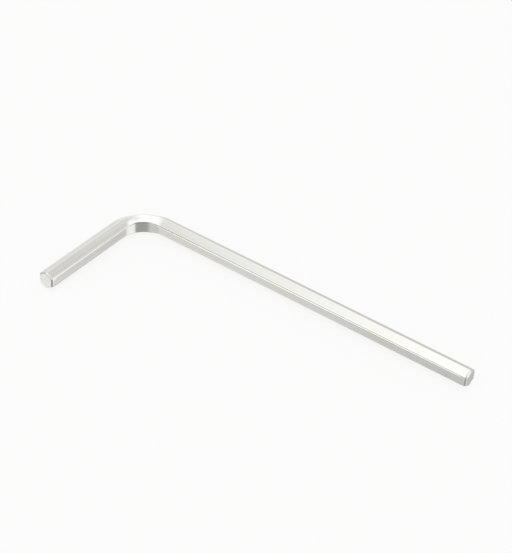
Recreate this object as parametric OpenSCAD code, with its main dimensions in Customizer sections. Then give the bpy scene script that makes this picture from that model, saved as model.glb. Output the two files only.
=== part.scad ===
// Hex key: one length of hexagonal steel bar with a single square bend.
// It lies in the XY plane. The origin is the middle of the long arm's end face,
// +X points out of that end and the short arm points to -Y. Millimetres.

/* [Hexagon bar] */
// Width of the bar across two opposite flats, the size of the socket it drives
across_flats = 4; // [2:0.5:8]
// Radius of the drawn bar's six long corners
corner_r = 0.35; // [0.1:0.05:0.5]

/* [Arms] */
// Reach of the long arm, from its tip to the outside of the short arm
long_reach = 95; // [60:1:200]
// Reach of the short arm, from its tip to the outside of the long arm
short_reach = 36; // [25:1:60]

/* [Bend] */
// Radius of the flat on the inside of the bend
bend_inner_r = 5.8; // [3:0.1:12]

/* [Ends] */
// How far the six edges of an end face lie inside the flats
end_step = 0.2; // [0.05:0.05:0.5]
// Radius at which each flat rolls over towards the end face
roll_r = 1.4; // [0.7:0.1:4]

/* [Hidden] */
$fn = 96;

// The flats stand square to the bend, so one corner points straight up
sides = 6;
side_turn = 360 / sides;
first_corner = 90;

// Middle of each corner's arc, on the line from the bar's axis to the sharp corner
corner_mid = (across_flats / 2 - corner_r) / cos(side_turn / 2);

// Radius of the bend along the bar's axis, and what is left straight in each arm
bend_mid_r = bend_inner_r + across_flats / 2;
long_straight = long_reach - across_flats / 2 - bend_mid_r;
short_straight = short_reach - across_flats / 2 - bend_mid_r;

// The rolled edge's arc passes just outside the flats, so that it runs out cleanly on them
run_out = 0.01;
roll_outside = across_flats / 2 + run_out;
roll_mid = roll_outside - roll_r;
end_half = across_flats / 2 - end_step;
roll_length = sqrt(pow(roll_r, 2) - pow(end_half - roll_mid, 2));

// A point of the bar's section, from its distance and its angle
function polar(distance, angle) = [distance * cos(angle), distance * sin(angle)];

// Section of the bar: six flats that run into six corner arcs
module bar_section() {
    polygon([
        for (k = [0 : sides - 1])
        let (corner = first_corner + k * side_turn)
        for (side = [-1, 1])
        polar(corner_mid, corner) + polar(corner_r, corner + side * side_turn / 2)
    ]);
    for (k = [0 : sides - 1])
        rotate(first_corner + k * side_turn)
            translate([corner_mid, 0])
                circle(r = corner_r);
}

// Outline of an arm between two opposite flats, with both of them rolled over at the tip
module rolled_outline(length) {
    translate([-roll_outside, 0])
        square([2 * roll_outside, length - roll_length]);
    translate([-end_half, 0])
        square([2 * end_half, length]);
    for (side = [0, 1])
        mirror([side, 0])
            intersection() {
                translate([roll_mid, length - roll_length])
                    circle(r = roll_r);
                square([roll_outside, length]);
            }
}

// Slab with that outline, wide enough to hold the whole bar
module rolled_slab(length) {
    rotate([90, 0, 0])
        translate([0, 0, -across_flats])
            linear_extrude(height = 2 * across_flats)
                rolled_outline(length);
}

// A straight arm of the given length along +Z, whose six flats roll over at its tip
module straight_arm(length) {
    intersection() {
        linear_extrude(height = length)
            bar_section();
        intersection_for(k = [0 : sides / 2 - 1])
            rotate([0, 0, k * side_turn])
                rolled_slab(length);
    }
}

// The quarter turn between the arms, about a centre on Z
module bend() {
    rotate([0, 0, 90])
        rotate_extrude(angle = 90)
            translate([bend_mid_r, 0])
                bar_section();
}

module hex_key() {
    color([0.78, 0.77, 0.74])
    union() {
        // Long arm, from the end of the bend to the origin
        translate([-long_straight, 0, 0])
            rotate([0, 90, 0])
                rotate([0, 0, 90])
                    straight_arm(long_straight);
        // Bend, whose centre is on the inner side of both arms
        translate([-long_straight, -bend_mid_r, 0])
            bend();
        // Short arm, from the other end of the bend towards -Y
        translate([-long_straight - bend_mid_r, -bend_mid_r, 0])
            rotate([90, 0, 0])
                straight_arm(short_straight);
    }
}

hex_key();
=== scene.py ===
# %% [markdown]
# # A bright nickel-plated hex key
#
# A hex key is one length of hexagonal steel bar: cold drawn, cropped to length, tumbled, bent once and
# plated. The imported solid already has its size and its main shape. This lesson dresses it: it makes a
# finer mesh with the marks of drawing, cropping and bending, gives it three nickel finishes, and
# lights it softly on a white floor.
#
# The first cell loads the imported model, which stays where it is. All the rest is measured from it.

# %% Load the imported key
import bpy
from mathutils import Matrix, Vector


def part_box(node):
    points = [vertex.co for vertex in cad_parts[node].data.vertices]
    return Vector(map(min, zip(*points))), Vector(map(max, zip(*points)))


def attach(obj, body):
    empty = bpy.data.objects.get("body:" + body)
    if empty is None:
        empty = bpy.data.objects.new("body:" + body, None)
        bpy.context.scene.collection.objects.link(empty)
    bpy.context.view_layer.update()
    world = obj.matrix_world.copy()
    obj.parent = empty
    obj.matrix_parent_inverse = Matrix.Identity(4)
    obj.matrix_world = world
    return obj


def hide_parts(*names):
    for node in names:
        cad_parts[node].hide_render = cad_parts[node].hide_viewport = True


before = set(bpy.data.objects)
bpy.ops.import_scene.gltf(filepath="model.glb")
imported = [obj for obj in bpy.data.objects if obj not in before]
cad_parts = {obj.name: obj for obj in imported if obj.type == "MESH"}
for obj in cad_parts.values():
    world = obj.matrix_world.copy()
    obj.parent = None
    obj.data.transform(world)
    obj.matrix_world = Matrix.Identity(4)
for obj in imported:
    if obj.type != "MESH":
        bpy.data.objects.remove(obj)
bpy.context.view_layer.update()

# %% Libraries
import math

import bpy
from mathutils import Matrix, Vector

# %% [markdown]
# ## Sizes
#
# Blender counts in metres and a hex key is drawn in millimetres, so the mesh is worked out in
# millimetres and scaled once at the end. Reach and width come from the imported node. What a box can't
# tell, such as the radius of the bend, is written here once.

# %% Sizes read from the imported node
MM = 0.001
low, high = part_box("hex_key")
half_flats = high.y / MM
half_corners = high.z / MM
long_reach = -low.x / MM
short_reach = (high.y - low.y) / MM
print(f"{2 * half_flats:.2f} mm across flats, arms {long_reach:.1f} and {short_reach:.1f} mm")

# %% Sizes of the bend and the tips
# Radius of the flat on the inside of the bend
bend_inner_r = 5.8
# How far an end face lies inside the flats, and how far behind it the bevel starts
bevel_step = 0.30
bevel_length = 0.42

SIDES = 6
HALF_SIDE = math.radians(180 / SIDES)
corner_r = (half_flats / math.cos(HALF_SIDE) - half_corners) / (1 / math.cos(HALF_SIDE) - 1)
corner_mid = half_corners - corner_r
end_half = half_flats - bevel_step
print(f"corner radius {corner_r:.3f} mm, end face {2 * end_half:.1f} mm across")

# %% Lengths along the straight bar
bend_mid_r = bend_inner_r + half_flats
bend_length = bend_mid_r * math.pi / 2
bend_start = long_reach - half_flats - bend_mid_r
bend_end = bend_start + bend_length
short_straight = short_reach - half_flats - bend_mid_r
bar_length = bend_end + short_straight
print(f"straight bar {bar_length:.1f} mm, bent from {bend_start:.1f} to {bend_end:.1f} mm")

# %% [markdown]
# ## The section of the bar
#
# A drawn hexagon has six flats and six small round corners, and the corners are what catches the
# light. A subdivided hexagon would round the flats too, so the ring of points is worked out: an arc
# at each corner, and a few points along each flat. The two points just inside the ends of a flat keep
# its shading flat, as support loops do in a model made by hand.

# %% Ring of points round the section
CORNER_STEPS = 8
FLAT_STEPS = 6
# How far in from the end of a flat its first point lies
SUPPORT = 0.07


def polar(distance, angle):
    return Vector((distance * math.cos(angle), distance * math.sin(angle)))


def section_ring():
    """(inward, up) of each point round the bar, in mm. The first corner points straight up."""
    arcs = []
    for k in range(SIDES):
        corner = math.pi / 2 + 2 * HALF_SIDE * k
        turns = [2 * HALF_SIDE * (step / CORNER_STEPS - 0.5) for step in range(CORNER_STEPS + 1)]
        arcs.append([polar(corner_mid, corner) + polar(corner_r, corner + turn) for turn in turns])
    points = []
    for k, arc in enumerate(arcs):
        start = arc[-1]
        end = arcs[(k + 1) % SIDES][0]
        inset = SUPPORT / (end - start).length
        shares = [inset + (1 - 2 * inset) * step / FLAT_STEPS for step in range(FLAT_STEPS + 1)]
        points += arc + [start.lerp(end, share) for share in shares]
    return points


ring = section_ring()
print(len(ring), "points round the bar")

# %% [markdown]
# ## The cropped tips
#
# Each tip is cropped straight off. Tumbling wears the edges of the cut down to a small soft bevel, so
# the face is a hexagon somewhat smaller than the bar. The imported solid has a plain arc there; here
# the bevel gets its two worn edges, because they are what shows: each turns so fast that it mirrors
# half the room in a few tenths of a millimetre. A bevel modifier would need sharp edges to work on
# and would treat the six corners like the flats. Here every point of the ring follows its own line
# over the bevel to the face, so the six bevels meet at the corners by themselves.
#
# `soften` swaps each sharp point of that line for a short curve. The edge of the face is worn more
# than the one on the bar.

# %% Line over the tip
# How far each worn edge reaches to either side of where the sharp one was
EDGE_ON_BAR = 0.07
EDGE_ON_FACE = 0.14
EDGE_STEPS = 6
# Rings of faces on an end face, and the radius of the hub that they leave in its middle
FACE_RINGS = 8
HUB_R = 0.12


def across_from_axis(point):
    """How far the point lies from the axis, measured square to the flat that is nearest to it."""
    turns = [math.pi / 2 + HALF_SIDE * (2 * k + 1) for k in range(SIDES)]
    return max(point.x * math.cos(turn) + point.y * math.sin(turn) for turn in turns)


def soften(before, sharp, after, reach):
    """Points of a short curve that rounds off the sharp point between two neighbours."""
    start = sharp + (before - sharp).normalized() * reach
    end = sharp + (after - sharp).normalized() * reach
    shares = [step / EDGE_STEPS for step in range(EDGE_STEPS + 1)]
    return [start.lerp(sharp, t).lerp(sharp.lerp(end, t), t) for t in shares]


def tip_line(point):
    """(depth behind the end, distance from the axis) from this point of the bar over its tip to the hub."""
    across = across_from_axis(point)
    bevel_start = Vector(((across - end_half) * bevel_length / bevel_step, point.length))
    bevel_end = Vector((0, point.length * end_half / across))
    on_bar = bevel_start + Vector((1, 0))
    hub = Vector((0, HUB_R))
    upper = soften(on_bar, bevel_start, bevel_end, EDGE_ON_BAR)
    lower = soften(bevel_start, bevel_end, hub, EDGE_ON_FACE)
    face = [lower[-1].lerp(hub, ring_no / FACE_RINGS) for ring_no in range(1, FACE_RINGS + 1)]
    return upper + lower + face


tip_lines = [tip_line(point) for point in ring]
print(len(tip_lines[0]), "points over a tip")

# %% [markdown]
# ## The straight bar
#
# The key is made as in the works: first the straight bar, then the bend. A row is the ring of points
# at one place along the bar. Rows lie 0.4 mm apart on the arms and closer in the bend. The place that
# each point has on the straight bar is kept, because the drawing lines and the marks of the tools
# were made while it was straight.

# %% Rows of the straight bar
ROW_GAP = 0.4
BEND_ROWS = 60


def tip_rows(end, into_bar):
    """Rows over the tip whose face lies at end, from the bar to the hub. into_bar is 1 or -1."""
    return [
        [
            Vector((end + into_bar * place.x, *(point.normalized() * place.y)))
            for point, place in zip(ring, places)
        ]
        for places in zip(*tip_lines)
    ]


def rows_between(starts, ends, count):
    """Evenly spaced rows, in which each point runs from its own start to just short of its own end."""
    return [
        [
            Vector((start + (end - start) * step / count, *point))
            for point, start, end in zip(ring, starts, ends)
        ]
        for step in range(count)
    ]


def straight_rows():
    """Rows from the hub of the long tip to the hub of the short one, each point as (along, inward, up)."""
    bevels = [line[0].x for line in tip_lines]
    bend_starts = [bend_start] * len(ring)
    bend_ends = [bend_end] * len(ring)
    arm_ends = [bar_length - bevel for bevel in bevels]
    long_tip = tip_rows(0, 1)[::-1]
    long_arm = rows_between(bevels, bend_starts, round(bend_start / ROW_GAP))
    bend = rows_between(bend_starts, bend_ends, BEND_ROWS)
    short_arm = rows_between(bend_ends, arm_ends, round(short_straight / ROW_GAP))
    short_tip = tip_rows(bar_length, -1)
    # The long arm's first row is already the last one of its tip
    return long_tip + long_arm[1:] + bend + short_arm + short_tip


rows = straight_rows()
print(len(rows), "rows,", len(rows) * len(ring), "points")

# %% [markdown]
# ## The bend
#
# Bending leaves marks that a clean sweep lacks. Steel on the inside is squeezed, so the inner flat
# grows taller and hollows a little, and steel on the outside is stretched and thins. A Simple Deform
# modifier can bend a bar but not swell it, so `bent` does both: it changes the section within the
# bend and then sets each point on its arm or on the arc.
#
# Tumbling has also worn the six corners a little flatter over the last millimetre or two of each tip,
# where the parts in the drum knock against each other.

# %% Marks of bending and wear
INNER_SWELL = 0.24
OUTER_THINNING = 0.05
# Share of the bend over which swelling and thinning grow, at each end
SWELL_FADE = 0.35
WORN_LENGTH = 1.9
WORN_DEPTH = 0.06


def smooth_step(value):
    value = min(max(value, 0), 1)
    return value * value * (3 - 2 * value)


def squeezed(along, inward, up):
    """The section at this place, swollen on the inside of the bend and thinned on the outside."""
    into_bend = min(along - bend_start, bend_end - along)
    depth = smooth_step(into_bend / (bend_length * SWELL_FADE))
    inside = smooth_step(inward / half_flats) * depth
    outside = smooth_step(-inward / half_flats) * depth
    return inward * (1 - OUTER_THINNING * outside), up * (1 + INNER_SWELL * inside - OUTER_THINNING * outside)


def corner_wear(along, inward, up):
    """The share of its distance from the axis that a point keeps where the corners are worn."""
    from_end = min(along, bar_length - along)
    near_end = smooth_step(1 - from_end / WORN_LENGTH)
    from_axis = math.hypot(inward, up)
    on_corner = smooth_step((from_axis - half_flats) / (half_corners - half_flats))
    return 1 - WORN_DEPTH * near_end * on_corner / half_corners


print(f"inner flat {100 * INNER_SWELL:.0f} % taller in the bend, corners worn by {WORN_DEPTH} mm")


# %% Bend the bar
def bent(point):
    """Where a point of the straight bar lies on the finished key, in mm."""
    along = point.x
    kept = corner_wear(*point)
    inward, up = squeezed(along, point.y * kept, point.z * kept)
    angle = min(max((along - bend_start) / bend_mid_r, 0), math.pi / 2)
    past_bend = max(along - bend_end, 0)
    before_bend = max(bend_start - along, 0)
    reach = bend_mid_r - inward
    x = -bend_start - reach * math.sin(angle) + before_bend
    y = -bend_mid_r + reach * math.cos(angle) - past_bend
    return Vector((x, y, up))


inside_of_bend = bent(Vector(((bend_start + bend_end) / 2, half_flats, 0)))
print("middle of the bend, inner side:", [round(v, 2) for v in inside_of_bend])

# %% [markdown]
# ## The mesh
#
# Rows and columns make a plain grid of four-sided faces, closed at each hub by a ring of triangles.
# Such a grid subdivides, bakes and prints without trouble. The straight bar's places go into an
# attribute called `straight_bar`, in mm, which the materials read as their coordinates. So a drawing
# line runs along the arm, follows the bend and runs on, with no seam and no UV map.
#
# Each face also gets the number of its finish. From a hub outwards come the face, the worn edge round
# it, the bevel, and the edge on the bar. A finish changes in the middle of an edge.

# %% Faces and their finishes
# Numbers of the finishes, in the order in which the key gets them
DRAWN, WORN, CROPPED = range(3)
CROPPED_ROWS = FACE_RINGS + EDGE_STEPS // 2
WORN_ROWS = EDGE_STEPS + 1


def finish_of(row_no):
    """Which finish the faces after this row have."""
    from_hub = min(row_no, len(rows) - 2 - row_no)
    if from_hub < CROPPED_ROWS:
        return CROPPED
    if from_hub < CROPPED_ROWS + WORN_ROWS:
        return WORN
    return DRAWN


def grid_faces(long_hub, short_hub):
    """Faces between the rows and round the two hubs, and the number of each one's finish."""
    columns = len(ring)
    faces = []
    finishes = []
    for row_no in range(len(rows) - 1):
        first = row_no * columns
        for c in range(columns):
            after = (c + 1) % columns
            faces.append((first + c, first + after, first + columns + after, first + columns + c))
            finishes.append(finish_of(row_no))
    last = (len(rows) - 1) * columns
    for c in range(columns):
        after = (c + 1) % columns
        faces.append((long_hub, after, c))
        faces.append((short_hub, last + c, last + after))
        finishes += [CROPPED, CROPPED]
    return faces, finishes


print("rows at each tip:", CROPPED_ROWS, "cropped and", WORN_ROWS, "worn")


# %% Build the key
def build_key():
    straight = [point for row in rows for point in row]
    straight.append(Vector((0, 0, 0)))
    straight.append(Vector((bar_length, 0, 0)))
    faces, finishes = grid_faces(len(straight) - 2, len(straight) - 1)
    mesh = bpy.data.meshes.new("hex_key_bar")
    mesh.from_pydata([bent(point) * MM for point in straight], [], faces)
    places = mesh.attributes.new("straight_bar", "FLOAT_VECTOR", "POINT")
    for item, point in zip(places.data, straight):
        item.vector = point
    for face, number in zip(mesh.polygons, finishes):
        face.material_index = number
        face.use_smooth = True
    mesh.validate()
    piece = bpy.data.objects.new("hex_key_bar", mesh)
    bpy.context.scene.collection.objects.link(piece)
    return piece


key = build_key()
print(len(key.data.polygons), "faces,", len(key.data.vertices), "points")

# %% [markdown]
# ## Helpers for the finishes
#
# Colours are written as sRGB hex values, as they are read off a swatch, and Blender's shaders want
# linear values, so one function turns them. One more function adds a node, with its settings and
# what goes into its sockets: a plain value, an output, or a whole node, which gives its first output
# in use.
#
# Most of the work is done by Map Range nodes with a smooth step. Each turns one range of values into
# another and holds it outside.

# %% Colour helper
def linear(hex_colour):
    """sRGB hex to linear RGBA."""
    channels = [int(hex_colour[i : i + 2], 16) / 255 for i in (1, 3, 5)]
    return [c / 12.92 if c <= 0.04045 else ((c + 0.055) / 1.055) ** 2.4 for c in channels] + [1.0]


WHITE = linear("#FFFFFF")
print("white:", WHITE, "and #808080:", [round(v, 3) for v in linear("#808080")])

# %% Node helpers
# Settings that many nodes share
SMOOTH = {"interpolation_type": "SMOOTHSTEP"}
MULTIPLY = {"operation": "MULTIPLY"}
MULTIPLY_ADD = {"operation": "MULTIPLY_ADD"}
COLOURS = {"data_type": "RGBA"}
NUMBERS = {"data_type": "FLOAT"}


def empty_tree(owner):
    """The node tree of a material, a world or a lamp, cleared for new nodes."""
    owner.use_nodes = True
    owner.node_tree.nodes.clear()
    return owner.node_tree


def new_material(name):
    material = bpy.data.materials.new(name)
    return material, empty_tree(material)


def add_node(tree, kind, settings=None, **sockets):
    """Adds a node. A socket is named by its label with _ for a space, or by its number as in s0."""
    node = tree.nodes.new(kind)
    for name, value in (settings or {}).items():
        setattr(node, name, value)
    for name, value in sockets.items():
        by_number = name[0] == "s" and name[1:].isdigit()
        socket = node.inputs[int(name[1:]) if by_number else name.replace("_", " ")]
        if isinstance(value, bpy.types.Node):
            value = next(output for output in value.outputs if output.enabled)
        if isinstance(value, bpy.types.NodeSocket):
            tree.links.new(value, socket)
        else:
            socket.default_value = value
    return node


print("settings that many nodes share:", SMOOTH, COLOURS, NUMBERS, MULTIPLY, MULTIPLY_ADD)

# %% [markdown]
# ## Bright nickel plate
#
# The whole key has one skin: bright nickel, about a hundredth of a millimetre thick, that levels the
# steel beneath but doesn't hide how it was made. Nickel is a slightly warm grey metal that mirrors
# about two thirds of the light, and its gloss is soft beside that of chrome. Three things vary over
# it: its warmth, in blotches where the plating is thicker; its roughness; and its relief.
#
# The three finishes share these parts. Positions come from `straight_bar`, in mm, and `grain` takes
# the size of its grains in mm too.

# %% Parts that the finishes share
NICKEL = "#D5D5D1"
NICKEL_WARM = "#D5D3CD"
BLOTCH_MM = 7.0
BLOTCH_FROM = 0.40
BLOTCH_TO = 0.65
# Noise seldom leaves this range
NOISE_LOW = 0.3
NOISE_HIGH = 0.7


def bar_place(tree):
    """The place on the straight bar, in mm, as (along, inward, up)."""
    return add_node(tree, "ShaderNodeAttribute", {"attribute_name": "straight_bar"}).outputs["Vector"]


def grain(tree, place, size_mm, detail=3.0):
    """Noise whose grains have this size along the bar, inwards and upwards."""
    per_mm = [1 / size for size in size_mm]
    scaled = add_node(tree, "ShaderNodeVectorMath", MULTIPLY, s0=place, s1=per_mm)
    return add_node(tree, "ShaderNodeTexNoise", Vector=scaled, Scale=1.0, Detail=detail)


def plate_colour(tree, place):
    """Nickel with warmer blotches, drawn out along the bar, where the plating is thicker."""
    blotch = grain(tree, place, (2 * BLOTCH_MM, BLOTCH_MM, BLOTCH_MM))
    warm = add_node(
        tree, "ShaderNodeMapRange", SMOOTH, Value=blotch, From_Min=BLOTCH_FROM, From_Max=BLOTCH_TO
    )
    return add_node(tree, "ShaderNodeMix", COLOURS, s0=warm, s6=linear(NICKEL), s7=linear(NICKEL_WARM))


def finish_with(tree, colour, roughness, height, relief_mm):
    """Joins colour, roughness and relief in a metal shader."""
    bump = add_node(tree, "ShaderNodeBump", Height=height, Distance=relief_mm * MM, Strength=1.0)
    metal = add_node(
        tree, "ShaderNodeBsdfPrincipled", Base_Color=colour, Metallic=1.0, Roughness=roughness, Normal=bump
    )
    add_node(tree, "ShaderNodeOutputMaterial", Surface=metal)


print("nickel", NICKEL, "with blotches of about", BLOTCH_MM, "mm")

# %% [markdown]
# ## Finish 1: nickel on cold drawn bar
#
# The flats keep the lines of the die that the bar was drawn through, which run along it and leave
# some strips a shade darker, and faint marks across it, from tumbling and polishing before the
# plating. The strips show most on the short arm, which the jaws of the bending tool gripped. Handling
# rubs the corners brighter and smoother. On the inside of the bend the squeezed steel has gathered in
# small wrinkles across it.
#
# Real die lines lie about 0.05 mm apart. The render has about four pixels to a millimetre, so they
# are drawn as coarse as 0.35 mm, or they would vanish.

# %% Relief of the flats
LINE_MM = 0.35
LINE_LENGTH_MM = 60.0
CROSS_MARK_SHARE = 0.3
WRINKLE_MM = 0.6
WRINKLE_WIDTH_MM = 4.0
WRINKLE_SHARE = 1.5
# Share of the bend over which the wrinkles fade at each end, and how far they run into the short arm
WRINKLE_FADE = 0.3
WRINKLE_RUN_OUT_MM = 1.0


def wrinkle_share(tree, along, inward):
    """How strong the wrinkles are: most in the middle of the bend's inner flat."""
    fade = bend_length * WRINKLE_FADE
    on_inside = add_node(
        tree, "ShaderNodeMapRange", SMOOTH, Value=inward, From_Max=half_flats, To_Max=WRINKLE_SHARE
    )
    into_bend = add_node(
        tree, "ShaderNodeMapRange", SMOOTH, Value=along, From_Min=bend_start, From_Max=bend_start + fade
    )
    out_of_bend = add_node(
        tree,
        "ShaderNodeMapRange",
        SMOOTH,
        Value=along,
        From_Min=bend_end - fade,
        From_Max=bend_end + WRINKLE_RUN_OUT_MM,
        To_Min=1.0,
        To_Max=0.0,
    )
    share = add_node(tree, "ShaderNodeMath", MULTIPLY, s0=on_inside, s1=into_bend)
    return add_node(tree, "ShaderNodeMath", MULTIPLY, s0=share, s1=out_of_bend)


def drawn_relief(tree, place, along, inward, cross_marks):
    """Die lines, with a share of the cross marks and of the wrinkles added."""
    die_lines = grain(tree, place, (LINE_LENGTH_MM, LINE_MM, LINE_MM))
    wrinkles = grain(tree, place, (WRINKLE_MM, WRINKLE_WIDTH_MM, WRINKLE_WIDTH_MM), detail=1.0)
    wrinkled = wrinkle_share(tree, along, inward)
    marked = add_node(tree, "ShaderNodeMath", MULTIPLY_ADD, s0=cross_marks, s1=CROSS_MARK_SHARE, s2=die_lines)
    return add_node(tree, "ShaderNodeMath", MULTIPLY_ADD, s0=wrinkles, s1=wrinkled, s2=marked)


print(f"die lines {LINE_MM} mm apart, wrinkles {WRINKLE_MM} mm apart")

# %% Colour and roughness of the flats
STRIP_NICKEL = "#CBCAC6"
STRIP_MM = 0.6
STRIP_FROM = 0.45
STRIP_TO = 0.60
LONG_ARM_STRIPS = 0.3
GRIP_FADE_MM = 3.0
FLAT_ROUGHNESS_LOW = 0.16
FLAT_ROUGHNESS_HIGH = 0.23
# Seen from the axis, rubbing starts this far beyond the middle of a flat and is full this far short
# of the corner, where it takes this much off the roughness
RUBBED_FROM_MM = 0.12
RUBBED_TO_MM = 0.02
RUBBED_SMOOTHER = 0.06


def drawn_colour(tree, place, along):
    """The plate with darker strips along it, which are faint on the long arm."""
    strips = grain(tree, place, (LINE_LENGTH_MM, STRIP_MM, STRIP_MM))
    gripped = add_node(
        tree,
        "ShaderNodeMapRange",
        SMOOTH,
        Value=along,
        From_Min=bend_end - GRIP_FADE_MM,
        From_Max=bend_end + GRIP_FADE_MM,
        To_Min=LONG_ARM_STRIPS,
    )
    dark = add_node(tree, "ShaderNodeMapRange", SMOOTH, Value=strips, From_Min=STRIP_FROM, From_Max=STRIP_TO)
    share = add_node(tree, "ShaderNodeMath", MULTIPLY, s0=dark, s1=gripped)
    plate = plate_colour(tree, place)
    return add_node(tree, "ShaderNodeMix", COLOURS, s0=share, s6=plate, s7=linear(STRIP_NICKEL))


def drawn_roughness(tree, place, cross_marks):
    """Rougher in the cross marks and smoother on the rubbed corners."""
    marked = add_node(
        tree,
        "ShaderNodeMapRange",
        SMOOTH,
        Value=cross_marks,
        From_Min=NOISE_LOW,
        From_Max=NOISE_HIGH,
        To_Min=FLAT_ROUGHNESS_LOW,
        To_Max=FLAT_ROUGHNESS_HIGH,
    )
    across = add_node(tree, "ShaderNodeVectorMath", MULTIPLY, s0=place, s1=(0.0, 1.0, 1.0))
    from_axis = add_node(tree, "ShaderNodeVectorMath", {"operation": "LENGTH"}, s0=across)
    rubbed = add_node(
        tree,
        "ShaderNodeMapRange",
        SMOOTH,
        Value=from_axis,
        From_Min=half_flats + RUBBED_FROM_MM,
        From_Max=half_corners - RUBBED_TO_MM,
    )
    return add_node(tree, "ShaderNodeMath", MULTIPLY_ADD, s0=rubbed, s1=-RUBBED_SMOOTHER, s2=marked)


print(f"roughness of the flats {FLAT_ROUGHNESS_LOW} to {FLAT_ROUGHNESS_HIGH}")

# %% Make the finish of the flats
CROSS_MARK_MM = 0.5
CROSS_MARK_WIDTH_MM = 3.0
FLAT_RELIEF_MM = 0.004


def drawn_nickel():
    material, tree = new_material("bright_nickel_on_drawn_steel")
    place = bar_place(tree)
    along, inward, _ = add_node(tree, "ShaderNodeSeparateXYZ", Vector=place).outputs
    cross_marks = grain(tree, place, (CROSS_MARK_MM, CROSS_MARK_WIDTH_MM, CROSS_MARK_WIDTH_MM))
    colour = drawn_colour(tree, place, along)
    roughness = drawn_roughness(tree, place, cross_marks)
    relief = drawn_relief(tree, place, along, inward, cross_marks)
    finish_with(tree, colour, roughness, relief, FLAT_RELIEF_MM)
    return material


drawn_finish = drawn_nickel()
print("made", drawn_finish.name)

# %% [markdown]
# ## Finish 2: nickel on worn bevels
#
# The bevels round an end face have no die lines. Tumbling in a drum of small stones has worn them
# smooth, and left fine dints with no direction. Under the plating these are soft, so the bevels
# gleam, and a plain even noise draws them.

# %% Make the finish of the bevels
DINT_MM = 0.3
BEVEL_ROUGHNESS_LOW = 0.16
BEVEL_ROUGHNESS_HIGH = 0.24
BEVEL_RELIEF_MM = 0.003


def tumbled_nickel():
    material, tree = new_material("bright_nickel_on_tumbled_steel")
    place = bar_place(tree)
    dints = grain(tree, place, (DINT_MM, DINT_MM, DINT_MM))
    roughness = add_node(
        tree,
        "ShaderNodeMapRange",
        SMOOTH,
        Value=dints,
        From_Min=NOISE_LOW,
        From_Max=NOISE_HIGH,
        To_Min=BEVEL_ROUGHNESS_LOW,
        To_Max=BEVEL_ROUGHNESS_HIGH,
    )
    finish_with(tree, plate_colour(tree, place), roughness, dints, BEVEL_RELIEF_MM)
    return material


tumbled_finish = tumbled_nickel()
print("made", tumbled_finish.name)

# %% [markdown]
# ## Finish 3: nickel on cropped steel
#
# A cropped end face is dull: the blade drags over it and then the steel tears, which leaves a fine
# grain with lines one way. The plating fills the finest of it, and the rest scatters the light, so
# the end faces look matt and even beside the flats.

# %% Make the finish of the end faces
MATT_NICKEL = "#E4E3DF"
TEAR_MM = 0.25
DRAG_LINE_MM = 0.15
DRAG_LENGTH_MM = 2.5
DRAG_DEPTH_MM = 1.0
DRAG_SHARE = 0.7
END_ROUGHNESS_LOW = 0.32
END_ROUGHNESS_HIGH = 0.46
END_RELIEF_MM = 0.008


def cropped_nickel():
    material, tree = new_material("matt_nickel_on_cropped_steel")
    place = bar_place(tree)
    tear = grain(tree, place, (TEAR_MM, TEAR_MM, TEAR_MM))
    drag = grain(tree, place, (DRAG_DEPTH_MM, DRAG_LINE_MM, DRAG_LENGTH_MM))
    relief = add_node(tree, "ShaderNodeMath", MULTIPLY_ADD, s0=drag, s1=DRAG_SHARE, s2=tear)
    torn = add_node(tree, "ShaderNodeMapRange", SMOOTH, Value=tear, From_Min=NOISE_LOW, From_Max=NOISE_HIGH)
    colour = add_node(tree, "ShaderNodeMix", COLOURS, s0=torn, s6=linear(MATT_NICKEL), s7=linear(NICKEL))
    roughness = add_node(tree, "ShaderNodeMix", NUMBERS, s0=torn, s2=END_ROUGHNESS_LOW, s3=END_ROUGHNESS_HIGH)
    finish_with(tree, colour, roughness, relief, END_RELIEF_MM)
    return material


cropped_finish = cropped_nickel()
print("made", cropped_finish.name)

# %% Put the finishes on the key
for finish in (drawn_finish, tumbled_finish, cropped_finish):
    key.data.materials.append(finish)
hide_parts("hex_key")
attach(key, "root")
print("finishes on the key:", [material.name for material in key.data.materials])

# %% [markdown]
# ## Floor
#
# The key lies on a white floor. White comes from the floor's own colour as the camera sees it, not
# from more light: Light Path tells the camera's rays from the rest, and there most of the floor is an
# even white of strength 1, with the lit floor mixed in so that the soft shadow stays.
#
# Product pictures of bright metal are taken with the piece held clear of the table, because close to
# white paper every side of it goes the same flat grey. The floor is therefore left out of what the
# metal mirrors, which is given by the surroundings in the next step.

# %% Make the floor
FLOOR_REACH = 3.0
FLOOR_COLOUR = "#F2F2F0"
WHITE_STRENGTH = 1.0
WHITE_TO_CAMERA = 0.85


def white_floor_finish():
    material, tree = new_material("white_floor")
    lit = add_node(tree, "ShaderNodeBsdfDiffuse", Color=linear(FLOOR_COLOUR))
    even = add_node(tree, "ShaderNodeEmission", Color=WHITE, Strength=WHITE_STRENGTH)
    seen = add_node(tree, "ShaderNodeLightPath").outputs["Is Camera Ray"]
    share = add_node(tree, "ShaderNodeMath", MULTIPLY, s0=seen, s1=WHITE_TO_CAMERA)
    mixed = add_node(tree, "ShaderNodeMixShader", s0=share, s1=lit, s2=even)
    add_node(tree, "ShaderNodeOutputMaterial", Surface=mixed)
    return material


def make_floor(height):
    reach = FLOOR_REACH
    corners = [(-reach, -reach), (reach, -reach), (reach, reach), (-reach, reach)]
    mesh = bpy.data.meshes.new("floor")
    mesh.from_pydata([(x, y, height) for x, y in corners], [], [(0, 1, 2, 3)])
    mesh.materials.append(white_floor_finish())
    floor = bpy.data.objects.new("floor", mesh)
    floor.visible_glossy = False
    bpy.context.scene.collection.objects.link(floor)


make_floor(low.z)
print(f"floor at {low.z / MM:.2f} mm")

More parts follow.
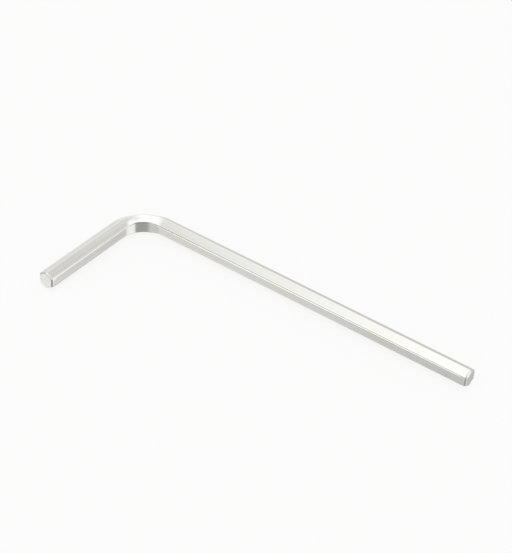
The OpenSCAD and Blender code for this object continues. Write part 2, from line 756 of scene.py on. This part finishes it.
# %% [markdown]
# ## Surroundings
#
# A bright metal has little colour of its own: it shows what it mirrors. The surroundings are those of
# a white light tent. The camera sees them white, and so does the metal for the most part, but a tent
# is never even. It is open and dark at the front, where the camera stands. Its right wall is bright,
# with a window and a door in it. Its left wall has a door too, its back is dim, and there are gaps in
# the roof, bright seams, a leg, and shade low down. Without these the key would look like grey card.
#
# Each of them is one row of the list: its edges, in degrees round the key and above the floor, how
# soft its edges are, and its tone. A later row lies over the earlier ones. The tent stands still when
# the camera moves, so from every side the key is seen in one and the same room.

# %% What the metal sees round it
# name, left and right edge, lower and upper edge, softness, tone
SURROUNDINGS = [
    ("dim corner at the back right", 132, 145, -70, -20, 3, 0.91),
    ("dim back", 143, 211, -75, -4, 5, 0.77),
    ("table behind the key", 151, 200, -85, -28, 5, 0.30),
    ("bright seam at the back left", 217, 221, -40, -10, 3, 1.22),
    ("bright roof at the back left", 184, 262, 24, 72, 6, 1.30),
    ("bright left wall, low", -118, -50, -80, -18, 5, 1.30),
    ("door in the left wall", -114, -64, -14, 34, 6, 0.88),
    ("shade low in the left wall", -116, -62, -28, 5, 5, 0.55),
    ("table before the key", -29, 33, -75, -12, 4, 0.88),
    ("leg of the tent at the front", -28, -20, -60, -28, 3, 0.72),
    ("open front", 20, 104, -75, 36, 12, 0.50),
    ("camera in the open front", 26, 76, -8, 34, 5, 0.32),
    ("gap in the roof at the front", 60, 83, 43, 62, 3, 0.30),
    ("bright right wall", 84, 134, -62, 32, 3, 1.36),
    ("window in the right wall", 82, 142, -16, 46, 3, 1.60),
    ("door in the right wall", 74, 103, -23, 12, 4, 0.55),
    ("gap above the front", -58, 4, 14, 52, 3, 0.48),
    ("bright strip at the front left", -38, -16, -24, 12, 3, 2.15),
    ("shade under the key", -180, 180, -95, -68, 6, 0.50),
]
TENT_WHITE = 1.0
print(len(SURROUNDINGS), "places in the tent")


# %% Tone of the tent in each direction
def within(tree, azimuth, elevation, left, right, lower, upper, soft):
    """1 in the directions within these edges and 0 outside, with all angles in radians."""
    middle = (left + right) / 2
    half_width = (right - left) / 2
    off_middle = add_node(tree, "ShaderNodeMath", {"operation": "SUBTRACT"}, s0=azimuth, s1=middle)
    turned = add_node(tree, "ShaderNodeMath", {"operation": "WRAP"}, s0=off_middle, s1=math.pi, s2=-math.pi)
    aside = add_node(tree, "ShaderNodeMath", {"operation": "ABSOLUTE"}, s0=turned)
    share = 1.0
    for angle, edge, below, above in (
        (aside, half_width, 1.0, 0.0),
        (elevation, lower, 0.0, 1.0),
        (elevation, upper, 1.0, 0.0),
    ):
        inside = add_node(
            tree,
            "ShaderNodeMapRange",
            SMOOTH,
            Value=angle,
            From_Min=edge - soft,
            From_Max=edge + soft,
            To_Min=below,
            To_Max=above,
        )
        share = add_node(tree, "ShaderNodeMath", MULTIPLY, s0=share, s1=inside)
    return share


def tent_tone(tree):
    """Brightness of the tent in each direction, seen from the key."""
    direction = add_node(tree, "ShaderNodeTexCoord").outputs["Generated"]
    x, y, z = add_node(tree, "ShaderNodeSeparateXYZ", Vector=direction).outputs
    frontward = add_node(tree, "ShaderNodeMath", MULTIPLY, s0=y, s1=-1.0)
    azimuth = add_node(tree, "ShaderNodeMath", {"operation": "ARCTAN2"}, s0=x, s1=frontward)
    elevation = add_node(tree, "ShaderNodeMath", {"operation": "ARCSINE"}, s0=z)
    tone = TENT_WHITE
    for name, *edges, own_tone in SURROUNDINGS:
        share = within(tree, azimuth, elevation, *map(math.radians, edges))
        tone = add_node(tree, "ShaderNodeMix", {**NUMBERS, "label": name}, s0=share, s2=tone, s3=own_tone)
    return tone


# %% Make the world
WORLD_LIGHT = 0.80


def make_world():
    world = bpy.data.worlds.new("white_tent")
    tree = empty_tree(world)
    rays = add_node(tree, "ShaderNodeLightPath").outputs
    seen = rays["Is Camera Ray"]
    glossy = rays["Is Glossy Ray"]
    clear = rays["Is Transmission Ray"]
    mirrored = add_node(tree, "ShaderNodeMath", {"operation": "MAXIMUM"}, s0=glossy, s1=clear)
    light = add_node(tree, "ShaderNodeMix", NUMBERS, s0=mirrored, s2=WORLD_LIGHT, s3=tent_tone(tree))
    strength = add_node(tree, "ShaderNodeMix", NUMBERS, s0=seen, s2=light, s3=WHITE_STRENGTH)
    background = add_node(tree, "ShaderNodeBackground", Color=WHITE, Strength=strength)
    add_node(tree, "ShaderNodeOutputWorld", Surface=background)
    bpy.context.scene.world = world


make_world()
print("world light", WORLD_LIGHT)

# %% [markdown]
# ## Lamp
#
# One wide soft box hangs overhead, out of the picture. It turns the upper inner flat white round the
# bend and along the long arm. A real soft box is brightest round its middle and fades towards its
# side, and so does this one, to the left: there the flat fades from white to grey near the bend.
#
# An area lamp's brightness is its power over pi times its area, so `soft_box` takes the brightness
# that the metal should show and works out the power.

# %% Make the lamp
BOX_HEIGHT = 0.60
BOX_LEFT = -0.50
BOX_RIGHT = 0.19
BOX_FRONT = -0.37
BOX_BACK = 0.18
BOX_BRIGHTNESS = 0.57
FADE_SHARE = 0.39


def fade_to_the_left(data):
    """Lets a lamp fade out over the left part of its width."""
    tree = empty_tree(data)
    on_lamp = add_node(tree, "ShaderNodeNewGeometry").outputs["Parametric"]
    across = add_node(tree, "ShaderNodeSeparateXYZ", Vector=on_lamp).outputs["X"]
    fade = add_node(tree, "ShaderNodeMapRange", Value=across, From_Max=FADE_SHARE)
    glow = add_node(tree, "ShaderNodeEmission", Color=WHITE, Strength=fade)
    add_node(tree, "ShaderNodeOutputLight", Surface=glow)


def soft_box(name, left, right, front, back, height, brightness):
    """A level rectangular lamp between these places, facing down."""
    data = bpy.data.lights.new(name, "AREA")
    data.shape = "RECTANGLE"
    data.size = right - left
    data.size_y = back - front
    data.energy = brightness * math.pi * data.size * data.size_y
    lamp = bpy.data.objects.new(name, data)
    lamp.location = ((left + right) / 2, (front + back) / 2, height)
    bpy.context.scene.collection.objects.link(lamp)
    return lamp


overhead = soft_box("overhead_box", BOX_LEFT, BOX_RIGHT, BOX_FRONT, BOX_BACK, BOX_HEIGHT, BOX_BRIGHTNESS)
fade_to_the_left(overhead.data)
print("lamp:", overhead.name, f"{overhead.data.energy:.2f} W")

# %% [markdown]
# ## Camera
#
# The camera stands where the outline of the key in the picture puts it: to the right of the short
# arm, about 38 degrees above the floor, with a long lens. The lens is worked out from the picture's
# height, because Blender fits the sensor to the longer side. Roll turns the camera about its own view.

# %% Make the camera
PICTURE_HEIGHT = 553
SENSOR_MM = 36.0
LENS_IN_PIXELS = 1681.0
VIEW_AZIMUTH = 33.74
VIEW_ELEVATION = 38.01
VIEW_ROLL = 4.105
VIEW_DISTANCE = 0.3906
AIM = Vector((-0.05708, -0.00132, 0))
CLIP_START = 0.01
CLIP_END = 10.0


def toward(azimuth, elevation):
    """Direction from the key. Azimuth 0 is the -Y side and 90 the +X side, in degrees."""
    a = math.radians(azimuth)
    e = math.radians(elevation)
    return Vector((math.sin(a) * math.cos(e), -math.cos(a) * math.cos(e), math.sin(e)))


def make_camera():
    data = bpy.data.cameras.new("camera")
    data.sensor_width = SENSOR_MM
    data.lens = LENS_IN_PIXELS * SENSOR_MM / PICTURE_HEIGHT
    data.clip_start = CLIP_START
    data.clip_end = CLIP_END
    back = toward(VIEW_AZIMUTH, VIEW_ELEVATION)
    level_right = Vector((-back.y, back.x, 0)).normalized()
    right = Matrix.Rotation(math.radians(VIEW_ROLL), 3, back) @ level_right
    upward = back.cross(right)
    turned = Matrix((right, upward, back)).transposed()
    placed = bpy.data.objects.new("camera", data)
    placed.matrix_world = Matrix.Translation(AIM + back * VIEW_DISTANCE) @ turned.to_4x4()
    bpy.context.scene.collection.objects.link(placed)
    bpy.context.scene.camera = placed
    return placed


camera = make_camera()
print("camera at", [round(v, 3) for v in camera.matrix_world.translation])
print(f"lens {camera.data.lens:.1f} mm")

# %% [markdown]
# ## Finish
#
# The Standard view transform shows colours as they are written.

# %% Finish
bpy.context.scene.view_settings.view_transform = "Standard"
